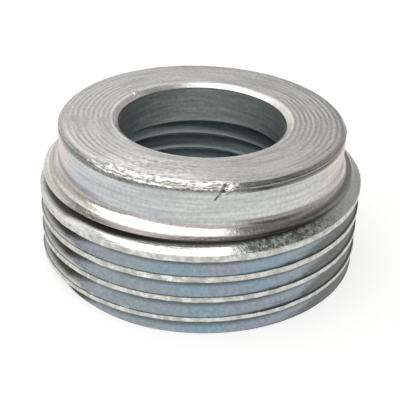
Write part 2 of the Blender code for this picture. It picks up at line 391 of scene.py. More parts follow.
# %% The tree that roughens a band
def rough_band_tree():
    """Geometry tree: move the points of one band round the part outwards and upwards by noise."""
    tree, given = start_tree("rough_band", ((name, "Float") for name in (
        "Middle height", "Rise round the part", "Half height", "Least radius", "Full radius", "First angle",
        "Last angle", "Fading angle", "Outward", "Upward", "Ragged outward", "Ragged upward", "Grain size", "Seed",
    )))
    place = add_node(tree, "GeometryNodeInputPosition")
    sides, radius, angle, outward = round_the_axis(tree, place)

    # The band's middle may rise round the part, as a thread does
    rise = add_node(tree, MATH, {
        0: angle, 1: given["Rise round the part"], 2: given["Middle height"],
    }, operation="MULTIPLY_ADD")
    gap = add_node(tree, MATH, {0: sides["Z"], 1: rise}, operation="SUBTRACT")
    distance = add_node(tree, MATH, {0: gap}, operation="ABSOLUTE")
    band = add_node(tree, RANGE, {
        "Value": distance, "From Max": given["Half height"], "To Min": 1.0, "To Max": 0.0,
    }, interpolation_type="SMOOTHSTEP")

    # Fade in after the first angle, and out before the last one
    first_end = add_node(tree, MATH, {0: given["First angle"], 1: given["Fading angle"]}, operation="ADD")
    last_start = add_node(tree, MATH, {0: given["Last angle"], 1: given["Fading angle"]}, operation="SUBTRACT")
    begins = add_node(tree, RANGE, {"Value": angle, "From Min": given["First angle"], "From Max": first_end})
    ends = add_node(tree, RANGE, {
        "Value": angle, "From Min": last_start, "From Max": given["Last angle"], "To Min": 1.0, "To Max": 0.0,
    })
    outside = add_node(tree, RANGE, {
        "Value": radius, "From Min": given["Least radius"], "From Max": given["Full radius"],
    })
    share = add_node(tree, MATH, {0: begins, 1: ends}, operation="MULTIPLY")
    share = add_node(tree, MATH, {0: share, 1: band}, operation="MULTIPLY")
    share = add_node(tree, MATH, {0: share, 1: outside}, operation="MULTIPLY")

    # Noise from -1 to 1 for each way
    fineness = add_node(tree, MATH, {0: 1.0, 1: given["Grain size"]}, operation="DIVIDE")
    noise = add_node(tree, NOISE, {
        "Vector": place, "W": given["Seed"], "Scale": fineness, "Detail": 3.0, "Roughness": 0.6,
    }, noise_dimensions="4D", normalize=False)
    pair = add_node(tree, "ShaderNodeSeparateXYZ", {0: noise.outputs["Color"]}).outputs
    out = add_node(tree, MATH, {
        0: pair["X"], 1: given["Ragged outward"], 2: given["Outward"],
    }, operation="MULTIPLY_ADD")
    out = add_node(tree, MATH, {0: out, 1: share}, operation="MULTIPLY")
    up = add_node(tree, MATH, {
        0: pair["Y"], 1: given["Ragged upward"], 2: given["Upward"],
    }, operation="MULTIPLY_ADD")
    up = add_node(tree, MATH, {0: up, 1: share}, operation="MULTIPLY")

    sideways = add_node(tree, VECTOR, {0: outward, "Scale": out}, operation="SCALE")
    upward = add_node(tree, "ShaderNodeCombineXYZ", {"Z": up})
    offset = add_node(tree, VECTOR, {0: sideways, 1: upward}, operation="ADD")
    moved = add_node(tree, "GeometryNodeSetPosition", {"Geometry": given["Mesh"], "Offset": offset})
    end_tree(tree, moved, given["Material"])
    return tree


# %% Roughen the bands
rough_band = rough_band_tree()
MALE_RISE = MALE_PITCH / math.tau
BURR_START = math.radians(-45.0)
BURR_END = math.radians(13.5)
# A band that runs all the way round has next to no fading, so no gap shows at the back
WHOLE_TURN = {"First angle": -math.pi, "Last angle": math.pi, "Fading angle": 0.0001}

bands = {
    "rolled_edge": {
        "Middle height": TOP, "Half height": 0.36 * MM, "Least radius": 13.3 * MM, "Full radius": 14.05 * MM,
        "First angle": BURR_START, "Last angle": BURR_END, "Fading angle": math.radians(8.0),
        "Upward": -0.27 * MM, "Ragged outward": 0.05 * MM, "Ragged upward": 0.11 * MM,
        "Grain size": 1.0 * MM, "Seed": 5.0,
    },
    "rim_burr": {
        "Middle height": LAND_BOTTOM, "Half height": 0.26 * MM,
        "Least radius": 14.0 * MM, "Full radius": 14.1 * MM,
        "First angle": BURR_START, "Last angle": BURR_END, "Fading angle": math.radians(4.0),
        "Outward": 0.1 * MM, "Ragged outward": 0.18 * MM, "Ragged upward": 0.22 * MM,
        "Grain size": 0.8 * MM, "Seed": 3.0,
    },
    "rim_unevenness": {
        "Middle height": LAND_BOTTOM + 0.15 * MM, "Half height": 0.5 * MM,
        "Least radius": 13.0 * MM, "Full radius": 13.1 * MM, **WHOLE_TURN,
        "Ragged outward": 0.04 * MM, "Ragged upward": 0.04 * MM, "Grain size": 0.9 * MM, "Seed": 7.0,
    },
    "crest_unevenness": {
        "Middle height": MALE_FIRST_GROOVE - 5.0 * MM, "Half height": 30.0 * MM,
        "Least radius": MAJOR_RADIUS - 0.1 * MM, "Full radius": MAJOR_RADIUS - 0.05 * MM, **WHOLE_TURN,
        "Ragged outward": 0.02 * MM, "Ragged upward": 0.05 * MM, "Grain size": 1.4 * MM, "Seed": 9.0,
    },
    "torn_flank": {
        "Middle height": MALE_FIRST_GROOVE - 0.42 * MM, "Rise round the part": MALE_RISE, "Half height": 0.55 * MM,
        "Least radius": 14.0 * MM, "Full radius": 14.1 * MM,
        "First angle": math.radians(9.0), "Last angle": math.radians(54.0), "Fading angle": math.radians(8.0),
        "Ragged outward": 0.08 * MM, "Ragged upward": 0.12 * MM, "Grain size": 0.9 * MM, "Seed": 11.0,
    },
}
for name, values in bands.items():
    add_tree(bushing, name, rough_band, {**values, "Material": steel})
print("Rough bands:", ", ".join(bands))

# %% [markdown]
# The nick is a straight stroke over the rim and down the neck. It could be cut with a Boolean, but a thing
# that is pressed in pushes a lip up beside it, so a tree moves the points down near a line and up beside it.
# The distance is measured on the unrolled outside: length round the part from the front, and height.

# %% How far a point lies from a line
def off_line(tree, sides, radius, angle, start, end):
    """Nodes for the share along a line on the unrolled outside, from 0 to 1, and the distance from it."""
    arc = add_node(tree, MATH, {0: angle, 1: radius}, operation="MULTIPLY")
    point = add_node(tree, "ShaderNodeCombineXYZ", {"X": arc, "Z": sides["Z"]})
    way = add_node(tree, VECTOR, {0: end, 1: start}, operation="SUBTRACT")
    reach = add_node(tree, VECTOR, {0: point, 1: start}, operation="SUBTRACT")
    length = add_node(tree, VECTOR, {0: way, 1: way}, operation="DOT_PRODUCT")
    along = add_node(tree, VECTOR, {0: reach, 1: way}, operation="DOT_PRODUCT")
    share = add_node(tree, MATH, {0: along, 1: length}, operation="DIVIDE", use_clamp=True)
    foot = add_node(tree, VECTOR, {0: way, "Scale": share}, operation="SCALE")
    apart = add_node(tree, VECTOR, {0: reach, 1: foot}, operation="SUBTRACT")
    return share, add_node(tree, VECTOR, {0: apart}, operation="LENGTH")


# %% The tree that presses a nick
LIP_PLACE = 1.3
LIP_REACH = 0.7


def nick_tree():
    """Geometry tree: press a straight nick into the outside, with a raised lip along it."""
    tree, given = start_tree("nick", (
        ("Upper end", "Vector"), ("Lower end", "Vector"), ("Least radius", "Float"),
        ("Half width", "Float"), ("Depth", "Float"), ("Lip", "Float"),
    ))
    place = add_node(tree, "GeometryNodeInputPosition")
    sides, radius, angle, outward = round_the_axis(tree, place)
    _, distance = off_line(tree, sides, radius, angle, given["Upper end"], given["Lower end"])

    # Down in the middle, up beside it, and nothing further off, all in half widths of the nick
    widths = add_node(tree, MATH, {0: distance, 1: given["Half width"]}, operation="DIVIDE")
    down = add_node(tree, RANGE, {"Value": widths, "To Min": 1.0, "To Max": 0.0})
    sunk = add_node(tree, MATH, {0: down, 1: given["Depth"]}, operation="MULTIPLY")
    beside = add_node(tree, MATH, {0: widths, 1: LIP_PLACE}, operation="SUBTRACT")
    off_lip = add_node(tree, MATH, {0: beside}, operation="ABSOLUTE")
    lip = add_node(tree, RANGE, {"Value": off_lip, "From Max": LIP_REACH, "To Min": given["Lip"], "To Max": 0.0})
    out = add_node(tree, MATH, {0: lip, 1: sunk}, operation="SUBTRACT")
    outside = add_node(tree, MATH, {0: radius, 1: given["Least radius"]}, operation="GREATER_THAN")
    out = add_node(tree, MATH, {0: out, 1: outside}, operation="MULTIPLY")
    offset = add_node(tree, VECTOR, {0: outward, "Scale": out}, operation="SCALE")
    moved = add_node(tree, "GeometryNodeSetPosition", {"Geometry": given["Mesh"], "Offset": offset})
    end_tree(tree, moved, given["Material"])
    return tree


# %% Nick the rim
NICK_TOP = Vector((2.5 * MM, 0.0, 15.0 * MM))
NICK_BOTTOM = Vector((1.35 * MM, 0.0, 13.5 * MM))
add_tree(bushing, "rim_nick", nick_tree(), {
    "Upper end": NICK_TOP,
    "Lower end": NICK_TOP.lerp(NICK_BOTTOM, 0.35),
    "Least radius": 14.05 * MM,
    "Half width": 0.3 * MM,
    "Depth": 0.15 * MM,
    "Lip": 0.06 * MM,
    "Material": steel,
})
print("Length of the nick in mm:", round((NICK_BOTTOM - NICK_TOP).length / MM, 2))

# %% [markdown]
# ## One plain mesh
# The turning, the threads, the bands and the nick are all modifiers so far. The export takes plain meshes only,
# so the result of the whole stack becomes the object's mesh, and the modifiers go. Edges that turn by more than
# 40 degrees stay sharp, and the rest is shaded smooth, as turned metal is.

# %% Bake the modifiers into a plain mesh
SHARP_ANGLE = math.radians(40.0)


def bake(item):
    """Replace an object's mesh with the one that its modifiers make, and remove them."""
    bpy.context.view_layer.update()
    evaluated = item.evaluated_get(bpy.context.evaluated_depsgraph_get())
    mesh = bpy.data.meshes.new_from_object(evaluated)
    item.modifiers.clear()
    item.data = mesh
    shape = bmesh.new()
    shape.from_mesh(mesh)
    loose = sum(1 for edge in shape.edges if len(edge.link_faces) != 2)
    volume = shape.calc_volume(signed=True)
    shape.free()
    mesh.calc_loop_triangles()
    print(item.name, "triangles:", len(mesh.loop_triangles), "open edges:", loose)
    print(item.name, "volume in mm3:", round(volume / MM ** 3, 1))
    return mesh


body_mesh = bake(bushing)
body_mesh.shade_smooth()
body_mesh.set_sharp_from_angle(angle=SHARP_ANGLE)
for guide in (male_section, female_section):
    bpy.data.objects.remove(guide, do_unlink=True)


# %% [markdown]
# ## Bright zinc plate
# Zinc plated on turned steel is a pale, slightly blue mirror that the tool marks under it break up. The thin
# clear film over it drifts between blue, green and rose. It is one material for the whole part, because the
# part is plated in one bath, and masks on the distance from the axis and the height tell the zones apart.

# %% Colours
def colour(text):
    """Linear colour from an sRGB hex value."""
    parts = [int(text[i:i + 2], 16) / 255.0 for i in (1, 3, 5)]
    linear = [part / 12.92 if part <= 0.04045 else ((part + 0.055) / 1.055) ** 2.4 for part in parts]
    return (*linear, 1.0)


# %% Where a point lies on the turned part
DEGREE = math.radians(1.0)

steel.use_nodes = True
plate = steel.node_tree
place = add_node(plate, "ShaderNodeTexCoord").outputs["Object"]
sides, radius, azimuth, outward = round_the_axis(plate, place)
across, height = sides["X"], sides["Z"]
from_middle = add_node(plate, MATH, {0: across}, operation="ABSOLUTE")
from_front = add_node(plate, MATH, {0: azimuth}, operation="ABSOLUTE")
depth = add_node(plate, MATH, {0: MAJOR_RADIUS, 1: radius}, operation="SUBTRACT")
print("The plate measures height, distance from the axis, depth below the crests, and angle from the front.")

# %% [markdown]
# Turning leaves marks that run round the part. Noise shows them when its space is unrolled: two coordinates
# go round a circle of the part's own radius, and the third goes along the outline. Squeezing the noise along
# that third one draws long thin marks. The real ones are about 0.1 mm apart, which is too fine to show here, so
# they are drawn 0.35 mm apart on the collar and 0.55 mm on the end face.

# %% Tool marks
way_round = add_node(plate, VECTOR, {0: outward, "Scale": COLLAR_RADIUS}, operation="SCALE")
way_along = add_node(plate, MATH, {0: radius, 1: height}, operation="SUBTRACT")
way_along = add_node(plate, "ShaderNodeCombineXYZ", {"Z": way_along})
unrolled = add_node(plate, VECTOR, {0: way_round, 1: way_along}, operation="ADD")

collar_space = add_node(plate, VECTOR, {0: unrolled, 1: (1.0, 1.0, 20.0)}, operation="MULTIPLY")
collar_marks = add_node(plate, NOISE, {
    "Vector": collar_space, "Scale": 1.0 / (7.0 * MM), "Detail": 3.0, "Roughness": 0.55,
})
face_space = add_node(plate, VECTOR, {0: unrolled, 1: (1.0, 1.0, 11.0)}, operation="MULTIPLY")
face_marks = add_node(plate, NOISE, {
    "Vector": face_space, "Scale": 1.0 / (6.0 * MM), "Detail": 2.0, "Roughness": 0.5,
})

# %% [markdown]
# The facing cut has left rings on the end face as well, 0.52 mm apart, which catch the light at the two sides.
# They are even, so a Wave texture suits them better than noise, and a noise of 4 mm hides them in patches. The
# texture's own rings are pi / 10 apart at a scale of 1.

# %% Rings of the facing cut
RING_SPACING = 0.52 * MM

rings = add_node(plate, "ShaderNodeTexWave", {
    "Vector": place, "Scale": math.pi / 10.0 / RING_SPACING, "Distortion": 4.0, "Detail": 3.0, "Detail Scale": 0.25,
}, wave_type="RINGS", rings_direction="Z")
ring_patches = add_node(plate, NOISE, {"Vector": place, "Scale": 1.0 / (4.0 * MM), "Detail": 2.0})
ring_patches = add_node(plate, RANGE, {
    "Value": ring_patches, "From Min": 0.42, "From Max": 0.58, "To Min": 0.1, "To Max": 1.0,
})
ring_share = add_node(plate, RANGE, {
    "Value": from_middle, "From Min": 7.0 * MM, "From Max": 11.0 * MM, "To Min": 0.08, "To Max": 0.75,
})
ring_share = add_node(plate, MATH, {0: ring_share, 1: ring_patches}, operation="MULTIPLY")
face_marks = add_node(plate, MIX, {"Factor": ring_share, "A": face_marks, "B": rings.outputs["Fac"]})

# %% [markdown]
# Five more noises make what is uneven. The film drifts over 6 mm, handling wears the crests in dabs of 0.8 mm,
# the torn metal is ripped at 0.5 mm, the burr breaks up into flecks of 0.3 mm that are stretched round the rim,
# and the plate's own grain, far below a tenth of a millimetre, is drawn at 0.35 mm so that it shows.

# %% Noise in the plate
film = add_node(plate, NOISE, {
    "Vector": unrolled, "Scale": 1.0 / (6.0 * MM), "Detail": 2.0, "Roughness": 0.45, "Distortion": 0.4,
})
fleck_space = add_node(plate, VECTOR, {0: unrolled, 1: (0.55, 0.55, 1.2)}, operation="MULTIPLY")
noises = {}
for name, space, size, detail, roughness in (
    ("handling", place, 0.8 * MM, 2.0, 0.6),
    ("rips", place, 0.5 * MM, 3.0, 0.65),
    ("flecks", fleck_space, 0.3 * MM, 2.0, 0.6),
    ("grain", place, 0.35 * MM, 3.0, 0.6),
):
    noises[name] = add_node(plate, NOISE, {
        "Vector": space, "Scale": 1.0 / size, "Detail": detail, "Roughness": roughness,
    })
print("Noises:", "film,", ", ".join(noises))

# %% [markdown]
# ## Zones of the plate
# Each zone is a mask, 1 on the zone and 0 off it, with a short slope between. Masks could be painted on the
# mesh as attributes, but a step along a measure keeps its edge sharper than the mesh is. Masks that are
# multiplied leave what lies in both. One dictionary holds them all, so that later masks and colours can call
# on earlier ones by name.

# %% A function that keeps a zone
zones = {}


def add_zone(name, measure, start, end, *within):
    """Keep a mask that is 0 at the start and 1 at the end of a measure, within other zones.

    A pair as the measure is the distance from a middle, and "not" before a zone means outside it.
    """
    if isinstance(measure, tuple):
        away = add_node(plate, MATH, {0: measure[0], 1: measure[1]}, operation="SUBTRACT")
        measure = add_node(plate, MATH, {0: away}, operation="ABSOLUTE")
    mask = add_node(plate, RANGE, {"Value": measure, "From Min": start, "From Max": end})
    for other in within:
        share = zones[other.removeprefix("not ")]
        if other.startswith("not "):
            share = add_node(plate, MATH, {0: 1.0, 1: share}, operation="SUBTRACT")
        mask = add_node(plate, MATH, {0: mask, 1: share}, operation="MULTIPLY")
    zones[name] = mask


# %% Sides of the part
add_zone("front_half", from_front, 115.0 * DEGREE, 85.0 * DEGREE)
add_zone("to_side", from_front, 44.0 * DEGREE, 62.0 * DEGREE)
for name, start, end in (
    ("to_left", -38.0, -52.0), ("first_left", -34.0, -46.0), ("wide_line", -5.0, -32.0),
    ("darker_shade_side", 8.0, 26.0), ("to_right", 40.0, 62.0),
):
    add_zone(name, azimuth, start * DEGREE, end * DEGREE, "front_half")
print("Zones by side:", ", ".join(zones))

# %% Zones of the bore
add_zone("near_axis", radius, 11.6 * MM, 11.0 * MM)
add_zone("in_bore", height, TOP - 0.45 * MM, TOP - 0.6 * MM, "near_axis")
add_zone("over_throat", height, TOP - 0.5 * MM, TOP - 0.42 * MM)
# The lip round the bore gets a painted highlight, palest on the left.
add_zone("on_lip", radius, THROAT_RADIUS + 0.8 * MM, THROAT_RADIUS + 0.6 * MM, "over_throat")
add_zone("lip_highlight_left", across, -3.0 * MM, -6.0 * MM)
# Painted shade: the bore is painted darker towards the throat's end and in the socket.
add_zone("throat_end_shade", height, TOP - 3.1 * MM, TOP - THROAT_LENGTH, "in_bore")
add_zone("socket_shade", height, TOP - THROAT_LENGTH, TOP - THROAT_LENGTH - 0.1 * MM, "in_bore")

# %% [markdown]
# The thread climbs round the part, so its zones are measured from the middle of the first groove, which rises
# with the angle from the front. Behind the part the rise is faded out, or the zones would jump where the angle
# goes from 180 to -180 degrees. The painted shade in the roots and the dark painted line along the first groove
# start at another depth on the left.

# %% Zones of the thread
front_angle = add_node(plate, MATH, {0: azimuth, 1: zones["front_half"]}, operation="MULTIPLY")
first_middle = add_node(plate, MATH, {
    0: front_angle, 1: MALE_RISE, 2: MALE_FIRST_GROOVE,
}, operation="MULTIPLY_ADD")
above_first = add_node(plate, MATH, {0: height, 1: first_middle}, operation="SUBTRACT")
add_zone("on_thread", above_first, 0.25 * MM, 0.0, "not in_bore")
add_zone("on_crest", depth, 0.07 * MM, 0.035 * MM, "on_thread")
# The first flank is painted paler than the other flanks: a painted highlight.
add_zone("first_flank", above_first, -1.25 * MM, -1.05 * MM, "on_thread")
add_zone("torn_end", azimuth, 56.0 * DEGREE, 46.0 * DEGREE)
add_zone("torn", azimuth, 10.0 * DEGREE, 18.0 * DEGREE, "torn_end", "first_flank")

# %% Zones of the grooves
limits = {}
for name, side, elsewhere, there in (
    ("root_shade_start", "to_left", 0.95, 0.2), ("root_shade_end", "to_left", 1.25, 0.65),
    ("groove_shade_start", "wide_line", 0.9, 0.6), ("groove_shade_end", "wide_line", 1.2, 0.85),
    ("crest_shade_start", "darker_shade_side", 0.2, 0.34),
):
    limits[name] = add_node(plate, MIX, {"Factor": zones[side], "A": elsewhere * MM, "B": there * MM})
off_first = add_node(plate, MATH, {0: 1.0, 1: zones["first_flank"]}, operation="SUBTRACT")
zones["with_root"] = add_node(plate, MATH, {0: off_first, 1: zones["first_left"]}, operation="MAXIMUM")
# Painted shade in the thread's roots, much darker on the left.
add_zone("root_painted_shade", depth, limits["root_shade_start"], limits["root_shade_end"], "on_thread", "with_root")
# Painted shade: a dark line just below each crest, where the crest shades the groove.
add_zone("shade_under_crests", depth, limits["crest_shade_start"], 0.12 * MM, "on_thread", "not first_flank")
# Painted shade along the first groove, darkest on its wide line at the front left.
add_zone("first_depth", depth, limits["groove_shade_start"], limits["groove_shade_end"])
add_zone("first_outside", radius, COLLAR_RADIUS, COLLAR_RADIUS + 0.4 * MM)
add_zone("first_groove_shade", (above_first, 0.0), 0.8 * MM, 0.6 * MM, "first_depth", "first_outside")

# %% Zones of the collar
FILLET_MIDDLE = TOP - COLLAR_HEIGHT + 0.37 * MM

add_zone("on_face", height, TOP - 0.1 * MM, TOP - 0.03 * MM)
add_zone("near_face", height, LAND_BOTTOM, LAND_BOTTOM + 0.05 * MM)
add_zone("on_rim", radius, COLLAR_RADIUS - 0.35 * MM, COLLAR_RADIUS - 0.25 * MM, "near_face")
# Painted shade: the land below the rim's chamfer is painted dark.
add_zone("land_painted_shade", radius, COLLAR_RADIUS - 0.06 * MM, COLLAR_RADIUS - 0.03 * MM, "near_face")
add_zone("sunk", radius, COLLAR_RADIUS - 0.05 * MM, COLLAR_RADIUS - 0.15 * MM)
# Painted shadow in the relief groove under the land.
add_zone("relief_painted_shadow", (height, LAND_BOTTOM - 0.2 * MM), 0.3 * MM, 0.1 * MM, "sunk")
# Painted shade on the neck's fillet at the left, in a dark rose.
add_zone("fillet_painted_shade", (height, FILLET_MIDDLE), 0.5 * MM, 0.1 * MM, "first_left", "not in_bore")
add_zone("over_shoulder", height, LEDGE_BOTTOM - 0.02 * MM, LEDGE_BOTTOM + 0.04 * MM)
add_zone("on_ledge", height, LEDGE_BOTTOM + 0.85 * MM, LEDGE_BOTTOM + 0.6 * MM, "over_shoulder", "not in_bore")
# The shoulder gets painted light on the left and painted shade elsewhere in front.
add_zone(
    "on_shoulder", height, LEDGE_BOTTOM - 0.02 * MM, LEDGE_BOTTOM - 0.12 * MM,
    "not on_thread", "not in_bore",
)

# %% [markdown]
# What is worn or torn is broken up by the noises. The burr is rolled in the mesh, and it is painted as a band of
# near-white flecks, which are painted highlights, with a dark line along it that is painted shade. Behind it the
# face has been rubbed bright in flecks too, and the second crest has the brightest dabs, which are painted glints.

# %% Zones of wear, of painted highlights and of painted shade
add_zone("ripped", noises["rips"], 0.42, 0.58)
add_zone("worn", noises["handling"], 0.38, 0.62)
# The near-white flecks on the burr are painted highlights.
add_zone("burr_highlight_flecks", noises["flecks"], 0.4, 0.56)
add_zone("burr_end", azimuth, BURR_END + 1.0 * DEGREE, BURR_END - 1.5 * DEGREE)
add_zone("burr_height", height, LAND_BOTTOM - 0.12 * MM, LAND_BOTTOM - 0.02 * MM)
add_zone("burr_radius", radius, 13.3 * MM, 13.6 * MM)
add_zone(
    "in_burr", azimuth, BURR_START + 2.0 * DEGREE, BURR_START + 9.0 * DEGREE,
    "burr_end", "burr_height", "burr_radius",
)
# Painted shade: a dark line along the burr, broken up by the rips.
add_zone("burr_crease_shade", (height, TOP - 0.55 * MM), 0.14 * MM, 0.06 * MM, "in_burr", "ripped")
add_zone("rubbed_start", azimuth, -44.0 * DEGREE, -30.0 * DEGREE)
add_zone("rubbed_end", azimuth, 4.0 * DEGREE, -8.0 * DEGREE)
add_zone("rubbed_flecks", noises["flecks"], 0.46, 0.58)
add_zone("rubbed", radius, 9.8 * MM, 11.0 * MM, "rubbed_start", "rubbed_end", "rubbed_flecks", "on_face")
# Painted glints: near-white dabs on the second crest at the front.
add_zone("near_second", (above_first, -1.5 * MALE_PITCH), 1.0 * MM, 0.9 * MM)
zones["crest_glint_share"] = add_node(plate, RANGE, {"Value": zones["near_second"], "To Min": 0.25})
add_zone("crest_glints_start", azimuth, -32.0 * DEGREE, -20.0 * DEGREE)
add_zone("crest_glints_end", azimuth, 8.0 * DEGREE, -2.0 * DEGREE)
add_zone("crest_glints", noises["handling"], 0.53, 0.6, "crest_glints_start", "crest_glints_end", "crest_glint_share")
print("Zones so far:", len(zones))

# %% [markdown]
# The nick runs on down the neck as a scratch that is finer than the rings of the mesh there, so the plate draws
# it. The same function as in the nick's tree gives the distance from its line, and from that come a sunken stroke
# that is painted dark, a painted shadow, and a lip on the rim that is painted near white, a painted highlight. It
# starts past the end face, which lies at the nick's own height.

# %% The nick, drawn on down the neck
share, off_nick = off_line(plate, sides, radius, azimuth, NICK_TOP, NICK_BOTTOM)
nick_width = add_node(plate, RANGE, {
    "Value": share, "From Min": 0.5, "From Max": 1.0, "To Min": 0.27 * MM, "To Max": 0.08 * MM,
})
add_zone("past_face", radius, 13.75 * MM, 13.95 * MM)
add_zone("in_nick", off_nick, nick_width, 0.0, "past_face")
# Painted highlight on the nick's lip.
add_zone("nick_lip_highlight", (off_nick, 0.34 * MM), 0.14 * MM, 0.06 * MM, "near_face", "past_face")
down_neck = add_node(plate, RANGE, {
    "Value": share, "From Min": 0.1, "From Max": 0.5, "To Min": 0.25, "To Max": 0.72,
})
# Painted shadow in the nick, darker down the neck.
zones["nick_painted_shadow"] = add_node(plate, MATH, {0: zones["in_nick"], 1: down_neck}, operation="MULTIPLY")

# %% [markdown]
# A knock has raised a small bump on the bore's edge, at the back on the left, and the plate paints it near white,
# a painted highlight. It is less than half a millimetre across, so a rounded bump in the plate shows it as well as
# a bump in the mesh would.

# %% The spot on the bore's edge
SPOT = (-7.05 * MM, 5.5 * MM, TOP - 0.1 * MM)

to_spot = add_node(plate, VECTOR, {0: place, 1: SPOT}, operation="SUBTRACT")
to_spot = add_node(plate, VECTOR, {0: to_spot}, operation="LENGTH")
# The spot is a bump, painted near white as a painted highlight.
add_zone("spot", to_spot, 0.44 * MM, 0.2 * MM)

# %% [markdown]
# ## Colours of the plate
# The film's tint turns with the angle from the front, and the film's noise shifts that angle, so the borders
# between blue, green, clear and rose wander as they do on real zinc.

# %% Tints of the film
film_shift = add_node(plate, RANGE, {
    "Value": film, "From Min": 0.3, "From Max": 0.7, "To Min": -0.35, "To Max": 0.35,
})
film_turn = add_node(plate, MATH, {0: azimuth, 1: film_shift}, operation="ADD")
film_off = add_node(plate, MATH, {0: from_front, 1: film_shift}, operation="ADD")
add_zone("to_green", film_turn, -38.0 * DEGREE, -12.0 * DEGREE)
add_zone("to_clear", film_turn, 14.0 * DEGREE, 40.0 * DEGREE)
add_zone("outer_half", radius, 12.0 * MM, 13.0 * MM)
add_zone("to_rose", film_off, 52.0 * DEGREE, 75.0 * DEGREE, "outer_half", "front_half")
add_zone("to_grey", (film_turn, 9.0 * DEGREE), 18.0 * DEGREE, 36.0 * DEGREE)
add_zone("violet", film, 0.5, 0.7)
print("Zones in all:", len(zones))

# %% [markdown]
# The colours start from clean zinc. The thread's flanks are smoother and bluer, and its crests are creamy where
# they were handled. The grooves and the deep bore are painted darker, which is painted shade, and they are dull,
# because plating is thin where the current hardly reaches. Each tone is mixed between two colours by a zone, and
# may be mixed again from there.

# %% Tones
tones = {}


def paint(name):
    """A tone that has been mixed, by its name, or else a plain colour."""
    return tones[name] if name in tones else colour(name)


for name, zone, elsewhere, there in (
    ("film", "to_green", "#BDC2C4", "#C1C5C2"),
    ("film", "to_clear", "film", "#C3C4C1"),
    ("film", "to_rose", "film", "#CFBFBB"),
    ("flanks", "to_grey", "#BDCAD2", "#C2C9CD"),
    ("flanks", "violet", "flanks", "#C4C6CD"),
    ("flanks", "to_side", "flanks", "#BDBFBB"),
    ("crests", "worn", "#B9B9B2", "#DBDBD5"),
    # Painted glints on the second crest.
    ("crests", "crest_glints", "crests", "#F0F0EB"),
    # Painted shade below the crests, darker and wider on the front right.
    ("painted crest shade", "darker_shade_side", "#6F787B", "#56615B"),
    ("torn metal", "ripped", "#768076", "#C4CCC1"),
    # Painted shade in the roots, darkest on the left.
    ("root", "to_left", "#A3ABAE", "#585651"),
    # Painted shade in the first groove, lighter on the right and darkest on its wide line.
    ("first groove shade", "to_right", "#625E5D", "#9EA39B"),
    ("first groove shade", "wide_line", "first groove shade", "#4A4645"),
    # Painted light and shade on the shoulder: pale on the left, dark elsewhere in front.
    ("shoulder", "to_left", "#827C7A", "#E9E6E3"),
    ("shoulder", "front_half", "#BDBFBB", "shoulder"),
    # Painted highlight on the bore's lip, palest on the left.
    ("lip", "lip_highlight_left", "#E6E5E2", "#F6F6F5"),
    # Painted highlights: near-white flecks on the burr.
    ("burr", "burr_highlight_flecks", "#9C9A96", "#F6F5F1"),
):
    tones[name] = add_node(plate, MIX, {
        "Factor": zones[zone], "A": paint(elsewhere), "B": paint(there),
    }, data_type="RGBA")
print("Tones:", ", ".join(tones))

# %% Lay the tones on, one zone over another
zinc = tones["film"]
for zone, tone in (
    # First flank: paler, a painted highlight. Below the crests: painted shade.
    ("on_thread", "flanks"), ("first_flank", "#D8DAD6"), ("torn", "torn metal"), ("shade_under_crests", "painted crest shade"),
    ("on_crest", "crests"), ("on_face", "#D3D3D2"), ("rubbed", "#FAFAF9"), ("on_rim", "#C2C2BF"),
    # Land, relief and left fillet: darker, painted shade.
    ("land_painted_shade", "#8A8988"), ("relief_painted_shadow", "#8F8F8C"), ("fillet_painted_shade", "#95929A"), ("on_ledge", "#D2CECA"),
    # Shoulder: painted light on the left, painted shade in front. Roots and the first groove: painted shade.
    ("on_shoulder", "shoulder"), ("root_painted_shade", "root"), ("first_groove_shade", "first groove shade"), ("in_bore", "#BCC3C0"),
    # Throat end and socket: darker, painted shade. Lip and burr flecks: painted highlights.
    ("throat_end_shade", "#9CA19F"), ("socket_shade", "#949EA1"), ("on_lip", "lip"), ("in_burr", "burr"),
    # Burr crease and nick stroke: painted shade. Nick lip and spot: near white, painted highlights.
    ("burr_crease_shade", "#4E4C49"), ("nick_lip_highlight", "#F0F0ED"), ("spot", "#FAFAF7"), ("nick_painted_shadow", "#62625F"),
):
    zinc = add_node(plate, MIX, {"Factor": zones[zone], "A": zinc, "B": paint(tone)}, data_type="RGBA")

# %% [markdown]
# The tool marks and the grain lighten and darken the colour a little. They could be left to the bump alone, but
# a blurred reflection hides a bump this shallow. The thread was cut by another tool, and has no such marks.

# %% Marks and grain in the colour
marks = add_node(plate, MIX, {"Factor": zones["on_face"], "A": collar_marks, "B": face_marks})
mark_shade = add_node(plate, RANGE, {
    "Value": marks, "From Min": 0.36, "From Max": 0.64, "To Min": 0.84, "To Max": 1.13,
})
mark_shade = add_node(plate, MIX, {"Factor": zones["on_thread"], "A": mark_shade, "B": 1.0})
grain_shade = add_node(plate, RANGE, {
    "Value": noises["grain"], "From Min": 0.36, "From Max": 0.64, "To Min": 0.9, "To Max": 1.09,
})
both_shades = add_node(plate, MATH, {0: mark_shade, 1: grain_shade}, operation="MULTIPLY")
shaded = add_node(plate, VECTOR, {0: zinc, "Scale": both_shades}, operation="SCALE")

# %% [markdown]
# Bright zinc is nearly a mirror on the collar and on the flanks. What was handled, torn or rolled over scatters
# the light more, and so does the dull plate in the grooves and the bore.

# %% Roughness
rough = 0.17
for zone, value in (
    ("on_thread", 0.15), ("to_side", 0.3), ("on_crest", 0.34), ("on_face", 0.3), ("root_painted_shade", 0.4), ("torn", 0.4),
    ("first_groove_shade", 0.5), ("in_bore", 0.45), ("on_lip", 0.35), ("in_burr", 0.36), ("nick_lip_highlight", 0.4),
):
    rough = add_node(plate, MIX, {"Factor": zones[zone], "A": rough, "B": value})
unevenness = add_node(plate, RANGE, {
    "Value": noises["grain"], "From Min": 0.3, "From Max": 0.7, "To Min": -0.04, "To Max": 0.04,
})
rough = add_node(plate, MATH, {0: rough, 1: unevenness}, operation="ADD")

